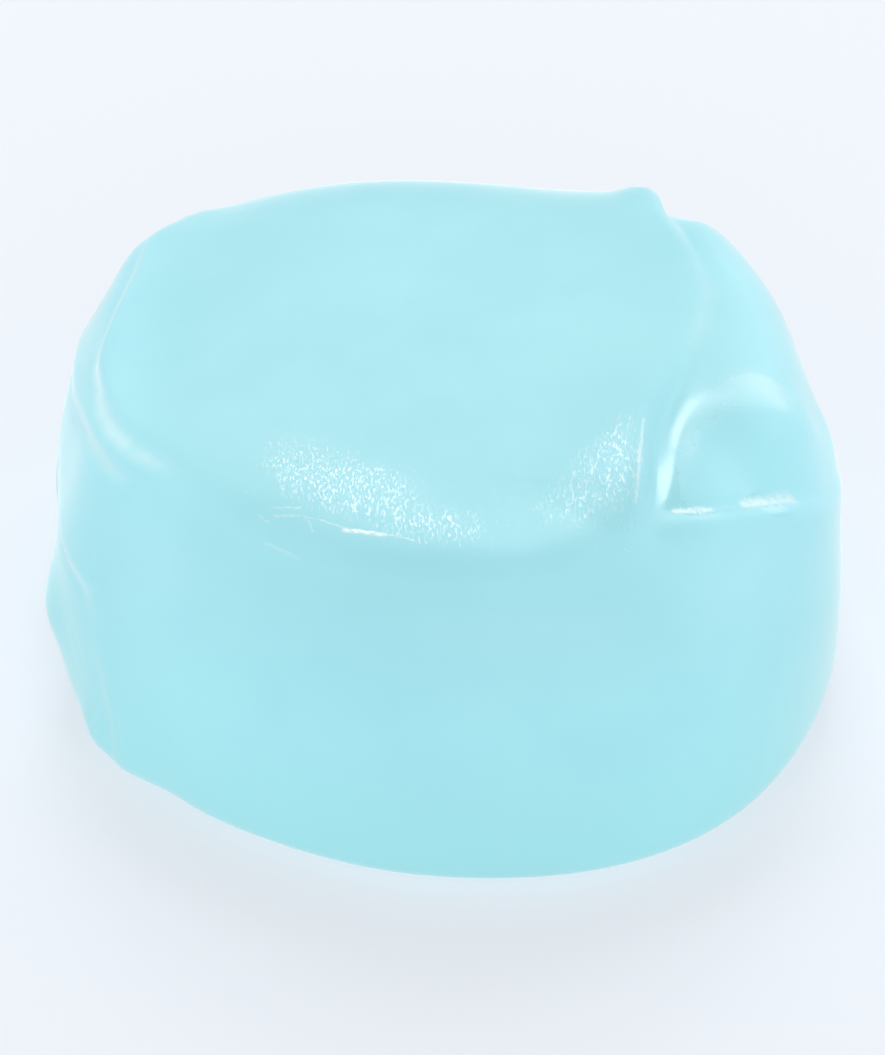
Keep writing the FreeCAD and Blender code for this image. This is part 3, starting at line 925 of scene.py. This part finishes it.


# %% [markdown]
# ### Colour
#
# The clay is one pale aqua, a little cloudy from kneading. A painted highlight makes it paler along
# the drawn lines, on the specks, along the thin rims and on the crests of pressed wrinkles. Painted
# shade makes it a little deeper low down, and the crown is painted a little darker than the shoulder
# and everything below it.

# %% Colour
# Noise breaks up the painted highlight along the thin rims.
rim_gaps = add_node(
    tree, RANGE, {0: clouds["rim gaps"], 1: 0.25, 2: 0.6, 3: 0.25, 4: 0.5},
    interpolation_type="SMOOTHSTEP",
)
# Painted highlights: the colour turns towards white on the crests of pressed wrinkles, along the drawn
# lines, on the specks and along the thin rims.
crests = add_node(tree, RANGE, {0: wrinkles, 1: 0.5, 2: 1.0}, interpolation_type="SMOOTHSTEP")
painted_highlight_share = layered([
    (lines_seen, 1.0, 1.1),
    (dots, kept["specks"], 0.7),
    (kept["crest"], rim_gaps, 1.0),
    (crests, worked, 0.65),
])
painted_highlight_share = add_node(tree, MATH, {0: painted_highlight_share, 1: 1.0}, operation="MINIMUM")
cloudiness = add_node(
    tree, RANGE, {0: clouds["colour"], 1: 0.3, 2: 0.7}, interpolation_type="SMOOTHSTEP"
)
# Painted shade: the colour turns a little deeper towards the bottom.
raised = add_node(tree, RANGE, {0: up_high, 1: 0.0, 2: 34 * MM}, interpolation_type="SMOOTHSTEP")
# Painted shade: the crown is painted a little darker, and everything below 33 mm a little lighter.
painted_crown_shade = add_node(
    tree, RANGE, {0: up_high, 1: 33 * MM, 2: 36 * MM, 3: 1.03, 4: 0.97},
    interpolation_type="SMOOTHSTEP",
)
# A Mix node has a socket of each kind under the same name, so the colour ones go by number.
A_COLOUR, B_COLOUR, COLOUR_OUT = 6, 7, 2
AQUA, CLOUDY_AQUA = linear_colour("#a5e7f1"), linear_colour("#abebf4")
# The deep aqua is painted shade low down; the near-white is the colour of the painted highlights.
PAINTED_LOW_SHADE_AQUA, PAINTED_HIGHLIGHT_WHITE = linear_colour("#a3e7ec"), linear_colour("#e6fbfd")
colour = add_node(
    tree, "ShaderNodeMix", {0: cloudiness, A_COLOUR: AQUA, B_COLOUR: CLOUDY_AQUA}, data_type="RGBA"
).outputs[COLOUR_OUT]
colour = add_node(
    tree, "ShaderNodeMix", {0: painted_highlight_share, A_COLOUR: colour, B_COLOUR: PAINTED_HIGHLIGHT_WHITE}, data_type="RGBA"
).outputs[COLOUR_OUT]
colour = add_node(
    tree, "ShaderNodeMix", {0: raised, A_COLOUR: PAINTED_LOW_SHADE_AQUA, B_COLOUR: colour}, data_type="RGBA"
).outputs[COLOUR_OUT]
colour = add_node(tree, VECTORS, {0: colour, "Scale": painted_crown_shade}, operation="SCALE")
print(f"colour: {len(tree.nodes)} nodes so far")


# %% [markdown]
# ### Shine
#
# The oil in the clay makes a film over it. The film follows every wrinkle, and glints on their
# crests; the clay under it scatters light, so it shows them less. That is a coat over a rougher
# body: the coat takes the full bump, and the body a share of it. A little sheen is the powder
# that catches light at the edges. Roughness and IOR are those of a soft polymer.

# %% Shine
COAT_MOST = 0.9
BODY_BUMP_SHARE = 0.45
glints = add_node(
    tree, RANGE, {0: wrinkles, 1: 0.35, 2: 0.9, 3: 0.12, 4: 0.8},
    interpolation_type="SMOOTHSTEP",
)
wet = add_node(tree, MATH, {0: worked, 1: glints}, operation="MULTIPLY")
polished = add_node(tree, MATH, {0: wet, 1: polished_rim}, operation="MAXIMUM")
shiny = add_node(tree, MATH, {0: polished, 1: lines_seen}, operation="MAXIMUM")
roughness = add_node(
    tree, RANGE, {0: shiny, 1: 0.0, 2: 1.0, 3: 0.5, 4: 0.2}, interpolation_type="SMOOTHSTEP"
)
coated = add_node(tree, MATH, {0: shiny, 1: 1.0}, operation="MINIMUM")
coat = add_node(tree, MATH, {0: coated, 1: COAT_MOST}, operation="MULTIPLY")
film = add_node(tree, "ShaderNodeBump", {"Height": skin_height, "Distance": 1.0, "Strength": 1.0})
smooth = add_node(tree, "ShaderNodeNewGeometry").outputs["Normal"]
# The vector sockets of a Mix node are its inputs 4 and 5 and its output 1.
under_film = add_node(
    tree, "ShaderNodeMix", {0: BODY_BUMP_SHARE, 4: smooth, 5: film}, data_type="VECTOR"
).outputs[1]
under_film = add_node(tree, VECTORS, {0: under_film}, operation="NORMALIZE")
body = add_node(
    tree, "ShaderNodeBsdfPrincipled",
    {"Base Color": colour, "Roughness": roughness, "IOR": 1.5, "Normal": under_film,
     "Sheen Weight": 0.9, "Sheen Roughness": 0.3, "Coat Weight": coat, "Coat Roughness": 0.2,
     "Coat IOR": 1.6, "Coat Normal": film},
)
add_node(tree, "ShaderNodeOutputMaterial", {"Surface": body})
print(f"clay: {len(tree.nodes)} nodes")


# %% [markdown]
# ## Handing over
#
# Each piece stands for the node of the same name in the design, rides with the one body that the
# lump is, and takes the clay's slot.

# %% Hand the pieces over
for name, piece in pieces.items():
    piece.data.materials.clear()
    piece.data.materials.append(clay)
    piece.data.polygons.foreach_set("material_index", np.zeros(len(piece.data.polygons), np.int32))
    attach(piece, "root")
    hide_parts(name)
print(f"pieces: {len(pieces)}")
